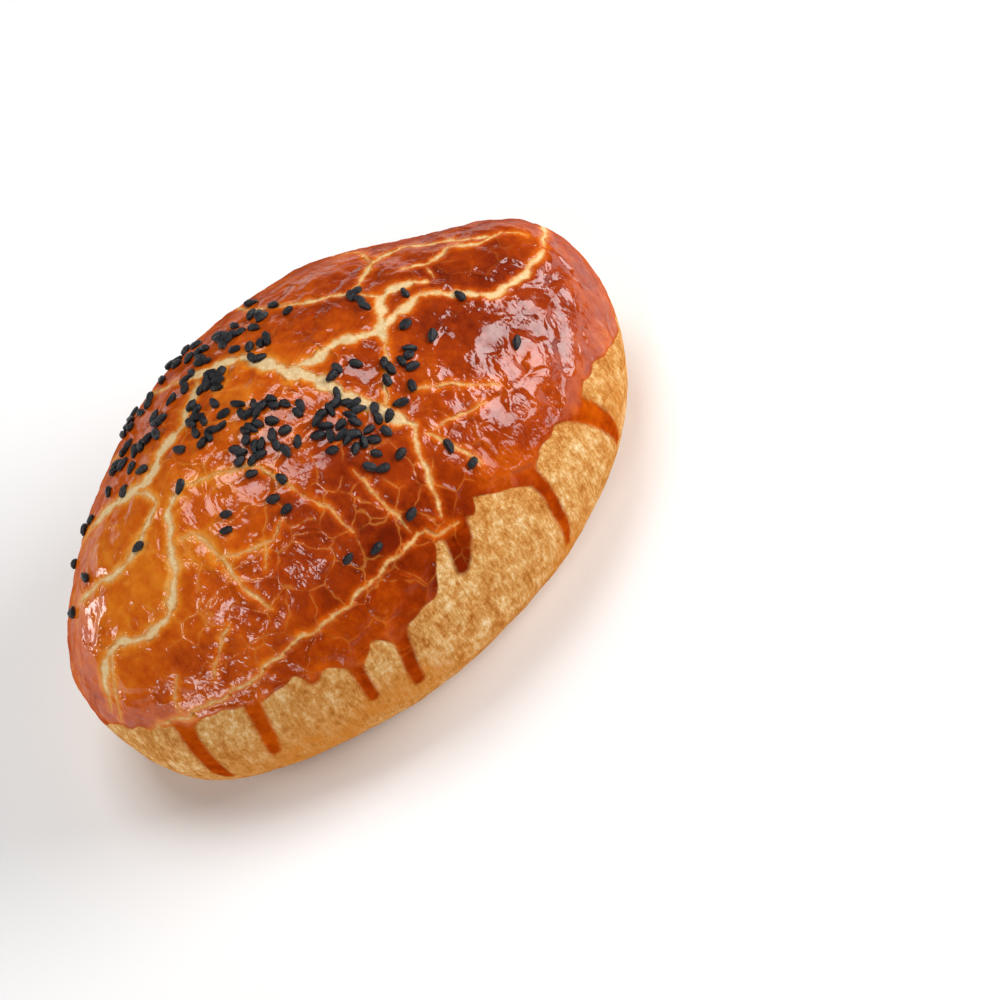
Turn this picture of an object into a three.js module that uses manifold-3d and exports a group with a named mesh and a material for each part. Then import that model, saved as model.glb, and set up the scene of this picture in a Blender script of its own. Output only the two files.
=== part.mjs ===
// A cheese pogaca: one small shuttle-shaped bread roll with an egg-washed, crackled dome,
// two lifted noses, a flat baked base and black cumin seeds pressed into a band across its middle.
//
// Millimetres, +Z up. X runs from nose to nose and the origin is the middle of the flat base.
// The crust is one closed surface over two angles. `turn` goes round the roll, seen from above,
// and `fall` goes down it: 0 at the top, a quarter turn at the widest line, a half turn in the
// middle of the base.
import * as THREE from "three";
import { mergeVertices } from "three/addons/utils/BufferGeometryUtils.js";
import Module from "manifold-3d";

// ---- Driving sizes ----
const HALF_LENGTH = 65;
const HALF_WIDTH = 43.25;
const HEIGHT = 56.5;
const WAIST_HEIGHT = 17.8; // of the widest line, at the middle of the long sides
const NOSE_LIFT = { left: 7.5, right: 3 }; // how much higher the widest line is at each nose
const PINCH = { near: 0.08, far: 0.23 }; // how much each long side narrows towards the noses
const BEND = 0.75; // both noses lean this far towards the near side
const TOP_SHIFT = { x: -4, y: 2.5 }; // the highest point is not over the middle
const BASE_HALF_LENGTH = 55;
const BASE_HALF_WIDTH = 30.5;
const BASE_FULLNESS = 0.22; // the base is fuller than an ellipse towards the noses
const BASE_SHIFT = 0.4;
const UNDERCUT_ARC = THREE.MathUtils.degToRad(75); // of a quarter round, so the base has an edge

// Places where the dough rose more: centre, reach and how far the crust stands out.
const SWELLS = [
  { at: [58, 6, 38], reach: 9, out: 3.2 }, // the right nose
  { at: [24, 30, 37], reach: 9, out: 1.5 }, // the far shoulder
  { at: [-52, -12, 4], reach: 11, out: 3 }, // the heel under the left nose
];
const SWELL_FROM = [0, 0, 18];
const SWELL_FADE = 6; // no swell at the base, all of it this high up

// ---- Fineness of the crust mesh ----
const COLUMNS = 56;
const DOME_RINGS = 18;
const SIDE_RINGS = 5;

// ---- Cracks that the rising dough tore open: half width, then points in plan ----
const CRACK_DEPTH = 0.8;
const CRACK_RISE = 0.6; // how far the cutting wedge stands above the crust
const CRACK_STEP = 4.4;
const CRACKS = [
  { half: 1.3, route: [[0, 15], [3, 5], [6, -2], [7, -8], [12, -20]] },
  { half: 1.2, route: [[-10, 23], [-5, 19], [0, 15]] },
  { half: 1.0, route: [[4, 4], [9, 2], [14, 2], [19, -1], [25, -1], [32, 0]] },
  { half: 0.8, route: [[32, 0], [37, -4], [42, -8], [50, -7], [57, -4]] },
  { half: 1.0, route: [[20, -4], [25, 3], [29, 5], [35, 2]] },
  { half: 0.6, route: [[13, 20], [19, 14], [25, 11], [31, 15], [38, 16], [45, 10], [52, 4]] },
  { half: 0.6, route: [[34, 8], [39, 6], [44, 7], [49, 4], [54, 4]] },
  { half: 1.2, route: [[-17, 13], [-23, 13], [-29, 11], [-34, 14], [-41, 19]] },
  { half: 0.7, route: [[-31, 5], [-42, 2], [-49, 6], [-53, 9]] },
  { half: 0.8, route: [[-63, -7], [-56, -4], [-48, -10], [-40, -9], [-31, 1], [-26, 3]] },
  { half: 0.6, route: [[12, -20], [9, -24], [6, -30], [4, -33]] },
  { half: 0.6, route: [[-61, -14], [-54, -20], [-43, -26], [-32, -29], [-20, -32], [0, -33]] },
];

// ---- Black cumin seeds ----
const SEED_LENGTH = { least: 2.6, most: 3.3 };
const SEED_WIDTH = { least: 1.65, most: 2.05 };
const SEED_SIDES = 4;
const SEED_RINGS = [ // share of the half length, share of the half width
  [-0.48, 0.88],
  [0.45, 0.82],
];
const SEED_TILT = 0.22; // radians, most
const SEED_SUNK = 0.12; // of its width, below the crust
const SEED_SPACE = 1.3; // two seeds in plan are never closer, though they may lie on each other
const DRAW_SEED = 77;
const PATCHES = [ // where the seeds fell: centre x and y, reach in x and y, count
  [3, -11, 6, 6, 34],
  [3, -18, 6, 6, 14],
  [9, -15, 5, 5, 7],
  [17, -9, 7, 6, 12],
  [9, -4, 4, 4, 3],
  [-5, -6, 6, 5, 12],
  [-12, -3, 7, 5, 17],
  [-16, -14, 5, 4, 5],
  [-9, 4, 8, 5, 15],
  [-16, 8, 7, 5, 10],
  [-3, 2, 4, 5, 5],
  [-6, 15, 7, 5, 12],
  [3, 12, 4, 5, 7],
  [-12, 12, 5, 5, 5],
  [-5, 23, 8, 5, 16],
  [3, 23, 5, 6, 12],
  [11, 25, 4, 5, 5],
  [-18, 20, 7, 5, 10],
  [-28, 21, 7, 5, 11],
  [-18, 30, 9, 4, 13],
  [-39, 21, 6, 4, 3],
  [-4, 30, 7, 4, 6],
  [22, 7, 4, 5, 4],
];
const STRAYS = [ // seeds that lie alone
  [37, -5], [38, -18], [30, 2], [27, -9], [25, -4], [-39, 2], [-49, 10],
  [-55, 10], [-48, 19], [-14, -28], [-9, -30], [0, -30], [14, -26], [15, -30],
  [-26, 3], [-24, -8], [-26, -10], [13, 17], [-28, 14], [-33, 15],
];

// A minimal repeatable draw, so that the seeds fall the same way every time.
const DRAW_FACTOR = 16807;
const DRAW_MODULUS = 2147483647;
let drawState = DRAW_SEED;
function draw(least, most) {
  drawState = (drawState * DRAW_FACTOR) % DRAW_MODULUS;
  return least + ((most - least) * drawState) / DRAW_MODULUS;
}

// ---- The crust surface ----
const QUARTER = Math.PI / 2;
const SIDE_END = 0.6; // share of the lower quarter that the sides take; the rest is the base

function waist(turn) {
  const c = Math.cos(turn);
  const s = Math.sin(turn);
  const pinch = s > 0 ? PINCH.far : PINCH.near;
  const lift = c > 0 ? NOSE_LIFT.right : NOSE_LIFT.left;
  return {
    x: HALF_LENGTH * c,
    y: HALF_WIDTH * s * (1 - pinch * c * c) - BEND * c * c,
    z: WAIST_HEIGHT + lift * c ** 4,
  };
}

function baseEdge(turn) {
  const c = Math.cos(turn);
  return {
    x: BASE_HALF_LENGTH * c,
    y: BASE_HALF_WIDTH * Math.sin(turn) * (1 + BASE_FULLNESS * c * c) + BASE_SHIFT,
  };
}

function plainPoint(turn, fall) {
  const rim = waist(turn);
  if (fall <= QUARTER) {
    const out = Math.sin(fall);
    const up = Math.cos(fall);
    return new THREE.Vector3(
      rim.x * out + TOP_SHIFT.x * up * up,
      rim.y * out + TOP_SHIFT.y * up * up,
      HEIGHT * up + rim.z * (1 - up),
    );
  }
  const foot = baseEdge(turn);
  const below = fall / QUARTER - 1;
  const arc = Math.min(below / SIDE_END, 1) * UNDERCUT_ARC;
  const inwards = (1 - Math.cos(arc)) / (1 - Math.cos(UNDERCUT_ARC));
  const flat = Math.max((below - SIDE_END) / (1 - SIDE_END), 0);
  return new THREE.Vector3(
    (rim.x + (foot.x - rim.x) * inwards) * (1 - flat),
    (rim.y + (foot.y - rim.y) * inwards) * (1 - flat),
    rim.z * (1 - Math.sin(arc) / Math.sin(UNDERCUT_ARC)),
  );
}

function crustPoint(turn, fall) {
  const point = plainPoint(turn, fall);
  let out = 0;
  for (const swell of SWELLS) {
    const far = point.distanceTo(new THREE.Vector3(...swell.at)) / swell.reach;
    out += swell.out * Math.exp(-far * far * 0.5);
  }
  out *= THREE.MathUtils.clamp(point.z / SWELL_FADE, 0, 1);
  const away = point.clone().sub(new THREE.Vector3(...SWELL_FROM)).normalize();
  point.addScaledVector(away, out);
  point.z = Math.max(point.z, 0);
  return point;
}

// The same surface over a flat chart without a pole: (0, 0) is the top, radius 1 the waist.
function chartPoint(u, v) {
  return crustPoint(Math.atan2(v, u), Math.hypot(u, v) * QUARTER);
}

// The crust straight above the plan point (x, y), with its normal, found by Newton's steps.
const NEWTON_STEPS = 10;
const CHART_NUDGE = 1e-4;
const CHART_START = 0.95;
function crustOver(x, y) {
  const share = Math.hypot(x / HALF_LENGTH, y / HALF_WIDTH);
  const start = Math.asin(Math.min(share, CHART_START)) / QUARTER / Math.max(share, CHART_NUDGE);
  let u = (x / HALF_LENGTH) * start;
  let v = (y / HALF_WIDTH) * start;
  let here;
  let alongU;
  let alongV;
  for (let step = 0; step < NEWTON_STEPS; step++) {
    here = chartPoint(u, v);
    alongU = chartPoint(u + CHART_NUDGE, v).sub(here).divideScalar(CHART_NUDGE);
    alongV = chartPoint(u, v + CHART_NUDGE).sub(here).divideScalar(CHART_NUDGE);
    const size = alongU.x * alongV.y - alongU.y * alongV.x;
    const missX = x - here.x;
    const missY = y - here.y;
    u += (missX * alongV.y - missY * alongV.x) / size;
    v += (missY * alongU.x - missX * alongU.y) / size;
  }
  const normal = alongU.cross(alongV).normalize();
  return { point: here, normal };
}

// ---- Closed meshes ----
function solidGeometry(points, faces) {
  const geometry = new THREE.BufferGeometry();
  const flat = points.flatMap((p) => [p.x, p.y, p.z]);
  geometry.setAttribute("position", new THREE.Float32BufferAttribute(flat, 3));
  geometry.setIndex(faces.flat());
  return geometry;
}

// Rings from the top to the middle of the base. Near the top the rings have fewer columns, so
// that the triangles stay even: each ring that closes in to half its size halves its columns.
function crustGeometry() {
  const points = [crustPoint(0, 0)];
  const rings = [];
  const falls = [];
  for (let i = 1; i <= DOME_RINGS; i++) falls.push((i / DOME_RINGS) * QUARTER);
  for (let i = 1; i <= SIDE_RINGS; i++) falls.push(QUARTER * (1 + (SIDE_END * i) / SIDE_RINGS));
  for (const fall of falls) {
    let count = COLUMNS;
    for (let size = Math.sin(Math.min(fall, QUARTER)); size < 0.5; size *= 2) count /= 2;
    count = Math.max(count, COLUMNS / 8);
    const ring = [];
    for (let j = 0; j < count; j++) {
      ring.push(points.length);
      points.push(crustPoint((j / count) * 2 * Math.PI, fall));
    }
    rings.push(ring);
  }
  const last = points.length;
  points.push(crustPoint(0, Math.PI));
  const faces = [];
  rings[0].forEach((a, j) => faces.push([0, a, rings[0][(j + 1) % rings[0].length]]));
  for (let i = 1; i < rings.length; i++) stitch(rings[i - 1], rings[i], faces);
  const foot = rings[rings.length - 1];
  foot.forEach((a, j) => faces.push([last, foot[(j + 1) % foot.length], a]));
  return solidGeometry(points, faces);
}

// The band between a ring and the next one down, which has as many columns or twice as many.
function stitch(upper, lower, faces) {
  const ratio = lower.length / upper.length;
  upper.forEach((a, j) => {
    const b = upper[(j + 1) % upper.length];
    const c = lower[j * ratio];
    const d = lower[((j + 1) * ratio) % lower.length];
    if (ratio === 1) {
      faces.push([a, c, d], [a, d, b]);
    } else {
      const middle = lower[j * ratio + 1];
      faces.push([a, c, middle], [a, middle, b], [b, middle, d]);
    }
  });
}

// A wedge that follows a crack over the crust, thinning out at both ends.
function crackGeometry({ half, route }) {
  const curve = new THREE.CatmullRomCurve3(route.map(([x, y]) => new THREE.Vector3(x, y, 0)));
  const steps = Math.ceil(curve.getLength() / CRACK_STEP);
  const points = [];
  for (let i = 0; i <= steps; i++) {
    const spot = curve.getPointAt(i / steps);
    const { point, normal } = crustOver(spot.x, spot.y);
    const ahead = curve.getTangentAt(i / steps);
    const side = new THREE.Vector3().crossVectors(normal, ahead).normalize();
    const fade = i === 0 || i === steps ? 0.4 : 1;
    const wide = half * fade * (1 + CRACK_RISE / CRACK_DEPTH);
    const top = point.clone().addScaledVector(normal, CRACK_RISE);
    points.push(top.clone().addScaledVector(side, wide));
    points.push(top.clone().addScaledVector(side, -wide));
    points.push(point.clone().addScaledVector(normal, -CRACK_DEPTH * fade));
  }
  const faces = [[0, 2, 1]];
  for (let i = 0; i < steps; i++) {
    for (let k = 0; k < 3; k++) {
      const a = i * 3 + k;
      const b = i * 3 + ((k + 1) % 3);
      faces.push([a, b, a + 3], [b, b + 3, a + 3]);
    }
  }
  const end = steps * 3;
  faces.push([end, end + 1, end + 2]);
  return solidGeometry(points, faces);
}

// An angular teardrop with its tip at +X, two rings of corners and a blunt tail.
function seedGeometry(length, width) {
  const points = [new THREE.Vector3(-length / 2, 0, 0)];
  for (const [place, share] of SEED_RINGS) {
    for (let k = 0; k < SEED_SIDES; k++) {
      const angle = ((k + 0.5) / SEED_SIDES) * 2 * Math.PI;
      const y = Math.cos(angle) * share * (width / 2) * Math.SQRT2;
      const z = Math.sin(angle) * share * (width / 2);
      points.push(new THREE.Vector3((place * length) / 2, y, z));
    }
  }
  const tip = points.length;
  points.push(new THREE.Vector3(length / 2, 0, 0));
  const faces = [];
  for (let k = 0; k < SEED_SIDES; k++) {
    const a = 1 + k;
    const b = 1 + ((k + 1) % SEED_SIDES);
    faces.push([0, b, a], [a, b, a + SEED_SIDES], [b, b + SEED_SIDES, a + SEED_SIDES]);
    faces.push([a + SEED_SIDES, b + SEED_SIDES, tip]);
  }
  return solidGeometry(points, faces);
}

// ---- Seeds on the crust ----
function seedPlaces() {
  const places = STRAYS.map(([x, y]) => ({ x, y }));
  for (const [x, y, reachX, reachY, count] of PATCHES) {
    for (let i = 0; i < count; i++) {
      // The sum of two draws gathers the seeds towards the middle of their patch.
      const place = {
        x: x + (draw(-reachX, reachX) + draw(-reachX, reachX)) / 2,
        y: y + (draw(-reachY, reachY) + draw(-reachY, reachY)) / 2,
      };
      if (places.every((p) => Math.hypot(p.x - place.x, p.y - place.y) > SEED_SPACE)) {
        places.push(place);
      }
    }
  }
  return places;
}

function seedOnCrust({ x, y }) {
  const width = draw(SEED_WIDTH.least, SEED_WIDTH.most);
  const length = draw(SEED_LENGTH.least, SEED_LENGTH.most);
  const heading = draw(0, 2 * Math.PI);
  const tilt = draw(-SEED_TILT, SEED_TILT);
  const { point, normal } = crustOver(x, y);
  const lie = new THREE.Quaternion().setFromUnitVectors(new THREE.Vector3(0, 0, 1), normal);
  const face = new THREE.Quaternion().setFromEuler(new THREE.Euler(0, tilt, heading, "ZYX"));
  const geometry = seedGeometry(length, width);
  geometry.applyQuaternion(lie.multiply(face));
  const centre = point.addScaledVector(normal, width * (0.5 - SEED_SUNK) * 0.5);
  geometry.translate(centre.x, centre.y, centre.z);
  return geometry;
}

// ---- Cutting and joining ----
const wasm = await Module();
wasm.setup();

function toSolid(geometry) {
  const merged = mergeVertices(geometry, 1e-4);
  return new wasm.Manifold(
    new wasm.Mesh({
      numProp: 3,
      vertProperties: new Float32Array(merged.attributes.position.array),
      triVerts: new Uint32Array(merged.index.array),
    }),
  );
}

function toGeometry(solid) {
  const mesh = solid.getMesh();
  const geometry = new THREE.BufferGeometry();
  geometry.setAttribute("position", new THREE.BufferAttribute(mesh.vertProperties, 3));
  geometry.setIndex(new THREE.BufferAttribute(mesh.triVerts, 1));
  geometry.computeVertexNormals();
  return geometry;
}

let roll = toSolid(crustGeometry());
for (const crack of CRACKS) roll = roll.subtract(toSolid(crackGeometry(crack)));
for (const place of seedPlaces()) roll = roll.add(toSolid(seedOnCrust(place)));
const pieces = roll.decompose();
roll = pieces.reduce((a, b) => (a.volume() > b.volume() ? a : b)); // loose scraps are dropped

const crustMaterial = new THREE.MeshStandardMaterial({
  color: 0xb1501a,
  roughness: 0.3,
  metalness: 0,
});
const pogaca = new THREE.Mesh(toGeometry(roll), crustMaterial);
pogaca.name = "seeded_roll";

const group = new THREE.Group();
group.add(pogaca);

export default group;
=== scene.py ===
# %% [markdown]
# # A cheese pogaca with black cumin seeds
#
# A pogaca is a small, soft, savoury bread roll. This one is shaped like a shuttle with two
# lifted noses. Before baking it is brushed with egg, which turns into a thin, glossy,
# red-brown glaze. The dough goes on rising under the glaze and tears it, so pale cracks run
# over the dome. Below the brushed part the dough stays bare and tan, apart from a few drips.
#
# The lesson has these steps: the camera and the studio, the shape of the crust, the cracks and
# the glaze as distances, the relief, the finish of the crust, and at last the seeds.
# All sizes are in millimetres until a mesh is made, because a roll is thought of in millimetres.

# %% Load the frame
import math

import bpy
import numpy as np
from mathutils import Matrix, Quaternion, Vector


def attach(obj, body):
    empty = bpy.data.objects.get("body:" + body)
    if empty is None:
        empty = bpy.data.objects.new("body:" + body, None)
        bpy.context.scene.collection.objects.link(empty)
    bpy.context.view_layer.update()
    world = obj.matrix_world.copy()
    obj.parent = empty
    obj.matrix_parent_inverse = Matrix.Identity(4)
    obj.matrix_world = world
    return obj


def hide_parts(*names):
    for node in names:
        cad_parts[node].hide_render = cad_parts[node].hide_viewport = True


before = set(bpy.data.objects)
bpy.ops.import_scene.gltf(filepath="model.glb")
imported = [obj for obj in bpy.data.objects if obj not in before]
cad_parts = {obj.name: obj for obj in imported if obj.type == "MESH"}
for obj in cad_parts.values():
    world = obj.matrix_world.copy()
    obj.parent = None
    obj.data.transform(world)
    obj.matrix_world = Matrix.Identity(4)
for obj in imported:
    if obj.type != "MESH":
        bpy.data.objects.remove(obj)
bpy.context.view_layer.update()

MM = 0.001

# %% [markdown]
# ## The camera
#
# The roll was photographed from well above its near long side, and it lies slanting in the
# picture. A long lens keeps its two noses in proportion. The camera could look straight at the
# roll and be shifted, but a shift would stay in every other view. So it looks at a point beside
# the roll instead, which puts the roll left of the middle.

# %% Place the camera
CAMERA_TARGET = Vector((0, 0, 25)) * MM
CAMERA_DISTANCE = 620 * MM
CAMERA_AZIMUTH = -15.0
CAMERA_ELEVATION = 55.0
CAMERA_ROLL = 31.29
PICTURE_SIZE = 1000  # pixels, both ways
PIXELS_PER_MM = 5.2  # at the target
TARGET_PIXEL = (339.05, 477.33)  # where the target lands, from the top left corner
SENSOR = 36.0


def direction(azimuth, elevation):
    """The unit vector towards a place round the roll. Azimuth 0 is the near side, 90 is +X."""
    a, e = math.radians(azimuth), math.radians(elevation)
    return Vector((math.sin(a) * math.cos(e), -math.cos(a) * math.cos(e), math.sin(e)))


def camera_axes(back, roll_degrees):
    """The camera's own right and up, for a view against `back` with a roll."""
    level = Vector((0, 0, 1)).cross(back).normalized()
    upright = back.cross(level)
    roll = math.radians(roll_degrees)
    return (math.cos(roll) * level - math.sin(roll) * upright,
            math.sin(roll) * level + math.cos(roll) * upright)


toward_camera = direction(CAMERA_AZIMUTH, CAMERA_ELEVATION)
right, up = camera_axes(toward_camera, CAMERA_ROLL)
place = CAMERA_TARGET + toward_camera * CAMERA_DISTANCE
beside = (PICTURE_SIZE / 2 - TARGET_PIXEL[0]) / PIXELS_PER_MM * MM
below = (PICTURE_SIZE / 2 - TARGET_PIXEL[1]) / PIXELS_PER_MM * MM
aim = CAMERA_TARGET + right * beside - up * below
back = (place - aim).normalized()
right = (right - right.dot(back) * back).normalized()
up = back.cross(right)

camera = bpy.data.objects.new("camera", bpy.data.cameras.new("camera"))
bpy.context.scene.collection.objects.link(camera)
camera.matrix_world = Matrix.Translation(place) @ Matrix((right, up, back)).transposed().to_4x4()
camera.data.sensor_width = SENSOR
camera.data.lens = SENSOR * CAMERA_DISTANCE / (PICTURE_SIZE / PIXELS_PER_MM * MM)
camera.data.clip_start = 0.02
camera.data.clip_end = 10
bpy.context.scene.camera = camera
print("lens", round(camera.data.lens, 1), "mm")

# %% [markdown]
# ## The studio
#
# Glossy food is lit with large soft sources, because the glaze mirrors them: each softbox
# becomes one patch of pale highlight. Where a patch falls on the dome says where its light
# stands. One broad light stands to the right for the big patch on the right shoulder, one low
# at the left behind the nose, one above the camera's left for the small glints in front, one
# low at the left that fills the underside of the nose, and one overhead. A pale floor and a
# faint world fill the rest. The world is kept faint because the glaze would mirror it as a veil.
# The plain colour transform keeps the deep orange of the glaze as saturated as it is.

# %% Build the floor, the lights and the world
bpy.context.scene.view_settings.view_transform = "Standard"


def softbox(name, azimuth, elevation, distance, width, height, brightness):
    """A rectangular area light that looks at the roll. Sizes in metres."""
    data = bpy.data.lights.new(name, "AREA")
    data.shape = "RECTANGLE"
    data.size, data.size_y = width, height
    data.energy = brightness * math.pi * width * height
    lamp = bpy.data.objects.new(name, data)
    towards = direction(azimuth, elevation)
    lamp.location = CAMERA_TARGET + towards * distance
    lamp.rotation_mode = "QUATERNION"
    lamp.rotation_quaternion = (-towards).to_track_quat("-Z", "Y")
    bpy.context.scene.collection.objects.link(lamp)
    return lamp


LIGHTS = [  # name, azimuth, elevation, distance, width, height, brightness
    ("right_softbox", 68, 26, 0.9, 0.60, 0.46, 9.4),
    ("left_strip", -131, 10, 0.8, 0.28, 0.17, 12.0),
    ("front_glint", -47, 50, 0.9, 0.20, 0.18, 10.5),
    ("low_left_fill", -54, 4, 0.9, 0.42, 0.18, 9.0),
    ("overhead", 160, 74, 0.9, 0.46, 0.42, 6.8),
]
for row in LIGHTS:
    softbox(*row)

WORLD_BRIGHTNESS = 0.08
world = bpy.data.worlds.new("studio")
world.use_nodes = True
sky = world.node_tree.nodes["Background"]
sky.inputs["Color"].default_value = (1.0, 0.99, 0.98, 1)
sky.inputs["Strength"].default_value = WORLD_BRIGHTNESS
bpy.context.scene.world = world


def new_piece(name, points, faces):
    """A new object of its own mesh, from points in metres and faces."""
    mesh = bpy.data.meshes.new(name)
    mesh.from_pydata(np.asarray(points, float).tolist(), [], np.asarray(faces, int).tolist())
    piece = bpy.data.objects.new(name, mesh)
    bpy.context.scene.collection.objects.link(piece)
    return piece


FLOOR_HALF = 2.0  # metres
FLOOR_DEEP = -0.0001  # so that the floor and the flat base never lie in one plane
corners = [(-1, -1), (1, -1), (1, 1), (-1, 1)]
floor = new_piece("floor", [(x * FLOOR_HALF, y * FLOOR_HALF, FLOOR_DEEP) for x, y in corners],
                  [(0, 1, 2, 3)])
floor_paint = bpy.data.materials.new("pale_floor")
floor_paint.use_nodes = True
floor_shader = floor_paint.node_tree.nodes["Principled BSDF"]
floor_shader.inputs["Base Color"].default_value = (0.94, 0.94, 0.94, 1)
floor_shader.inputs["Roughness"].default_value = 0.8
floor.data.materials.append(floor_paint)
print(len(LIGHTS), "lights and a floor")

# %% [markdown]
# ## The shape of the crust
#
# The whole crust is one closed surface over two angles. `turn` goes round the roll, seen from
# above, and `fall` goes down it: 0 at the top, 90 degrees at the widest line, 180 in the middle
# of the base. The dome is a quarter ellipse in every direction, and the sides curl in below the
# widest line to a flat base. Sculpting would also work, but with a formula the cracks, drips and
# seeds can all be placed on the crust exactly.

# %% The crust as a formula
HALF_LENGTH = 65.0
HALF_WIDTH = 43.25
HEIGHT = 56.5
WAIST_HEIGHT = 17.8
NOSE_LIFT = {"left": 7.5, "right": 3.0}
PINCH = {"near": 0.08, "far": 0.23}
BEND = 0.75
TOP_SHIFT = (-4.0, 2.5)
BASE_HALF_LENGTH = 55.0
BASE_HALF_WIDTH = 30.5
BASE_FULLNESS = 0.22
BASE_SHIFT = 0.4
UNDERCUT_ARC = math.radians(75)
SIDE_END = 0.6
QUARTER = math.pi / 2
SWELLS = [  # centre, reach, how far the crust stands out
    ((58, 6, 38), 9, 3.2),
    ((24, 30, 37), 9, 1.5),
    ((-52, -12, 4), 11, 3.0),
]
SWELL_FROM = (0, 0, 18)
SWELL_FADE = 6


def crust_point(turn, fall):
    """Points on the crust, in mm, for arrays of turn and fall in radians."""
    c, s = np.cos(turn), np.sin(turn)
    pinch = np.where(s > 0, PINCH["far"], PINCH["near"])
    lift = np.where(c > 0, NOSE_LIFT["right"], NOSE_LIFT["left"])
    waist_x = HALF_LENGTH * c
    waist_y = HALF_WIDTH * s * (1 - pinch * c * c) - BEND * c * c
    waist_z = WAIST_HEIGHT + lift * c**4
    foot_x = BASE_HALF_LENGTH * c
    foot_y = BASE_HALF_WIDTH * s * (1 + BASE_FULLNESS * c * c) + BASE_SHIFT
    out, rise = np.sin(np.minimum(fall, QUARTER)), np.cos(np.minimum(fall, QUARTER))
    dome = np.stack([waist_x * out + TOP_SHIFT[0] * rise**2,
                     waist_y * out + TOP_SHIFT[1] * rise**2,
                     HEIGHT * rise + waist_z * (1 - rise)], -1)
    below = np.maximum(fall / QUARTER - 1, 0)
    arc = np.minimum(below / SIDE_END, 1) * UNDERCUT_ARC
    inwards = (1 - np.cos(arc)) / (1 - math.cos(UNDERCUT_ARC))
    flat = np.maximum((below - SIDE_END) / (1 - SIDE_END), 0)
    side = np.stack([(waist_x + (foot_x - waist_x) * inwards) * (1 - flat),
                     (waist_y + (foot_y - waist_y) * inwards) * (1 - flat),
                     waist_z * (1 - np.sin(arc) / math.sin(UNDERCUT_ARC))], -1)
    point = np.where((fall <= QUARTER)[..., None], dome, side)
    stand = 0
    for centre, reach, amount in SWELLS:
        far = np.linalg.norm(point - centre, axis=-1) / reach
        stand = stand + amount * np.exp(-far * far / 2)
    stand = stand * np.clip(point[..., 2] / SWELL_FADE, 0, 1)
    away = point - SWELL_FROM
    point = point + away / np.linalg.norm(away, axis=-1, keepdims=True) * stand[..., None]
    point[..., 2] = np.maximum(point[..., 2], 0)
    return point


def chart_point(chart):
    """The same surface over a flat chart: (0, 0) is the top, radius 1 the widest line."""
    return crust_point(np.arctan2(chart[:, 1], chart[:, 0]),
                       np.hypot(chart[:, 0], chart[:, 1]) * QUARTER)


print("length and width at the waist:",
      [round(float(n), 1) for n in (2 * HALF_LENGTH, 2 * HALF_WIDTH)])

# %% [markdown]
# Cracks and seeds are placed by where they lie seen from straight above. Newton's steps find
# the point of the crust over a place in plan, and the direction that stands square on it.

# %% From plan to crust
NEWTON_STEPS = 10
NUDGE = 1e-4
CHART_START = 0.95


def crust_over(plan):
    """(points, outward normals) of the crust straight above an array of plan places."""
    plan = np.asarray(plan, float)
    scaled = plan / (HALF_LENGTH, HALF_WIDTH)
    share = np.linalg.norm(scaled, axis=1, keepdims=True)
    start = np.arcsin(np.minimum(share, CHART_START)) / QUARTER / np.maximum(share, NUDGE)
    chart = scaled * start
    for _ in range(NEWTON_STEPS):
        here = chart_point(chart)
        along_u = (chart_point(chart + (NUDGE, 0)) - here) / NUDGE
        along_v = (chart_point(chart + (0, NUDGE)) - here) / NUDGE
        size = along_u[:, 0] * along_v[:, 1] - along_u[:, 1] * along_v[:, 0]
        miss = plan - here[:, :2]
        chart = chart + np.stack([
            (miss[:, 0] * along_v[:, 1] - miss[:, 1] * along_v[:, 0]) / size,
            (miss[:, 1] * along_u[:, 0] - miss[:, 0] * along_u[:, 1]) / size], 1)
    normal = np.cross(along_u, along_v)
    return here, normal / np.linalg.norm(normal, axis=1, keepdims=True)


print("the crust over the origin is", round(float(crust_over([(0, 0)])[0][0, 2]), 2), "mm high")

# %% [markdown]
# ## Cracks
#
# Where the dough rose most, the glaze was torn open. The widest tears run from the middle of
# the far side over the top and on to the right, and show cream dough. Others are fine pale
# lines. Each crack is a route through a few places in plan with a half width. A smooth curve
# goes through them, wanders a little as a tear does, and narrows to both ends. Painting them by
# hand on an image would be quicker, but these can be cut into the mesh as well.

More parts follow.
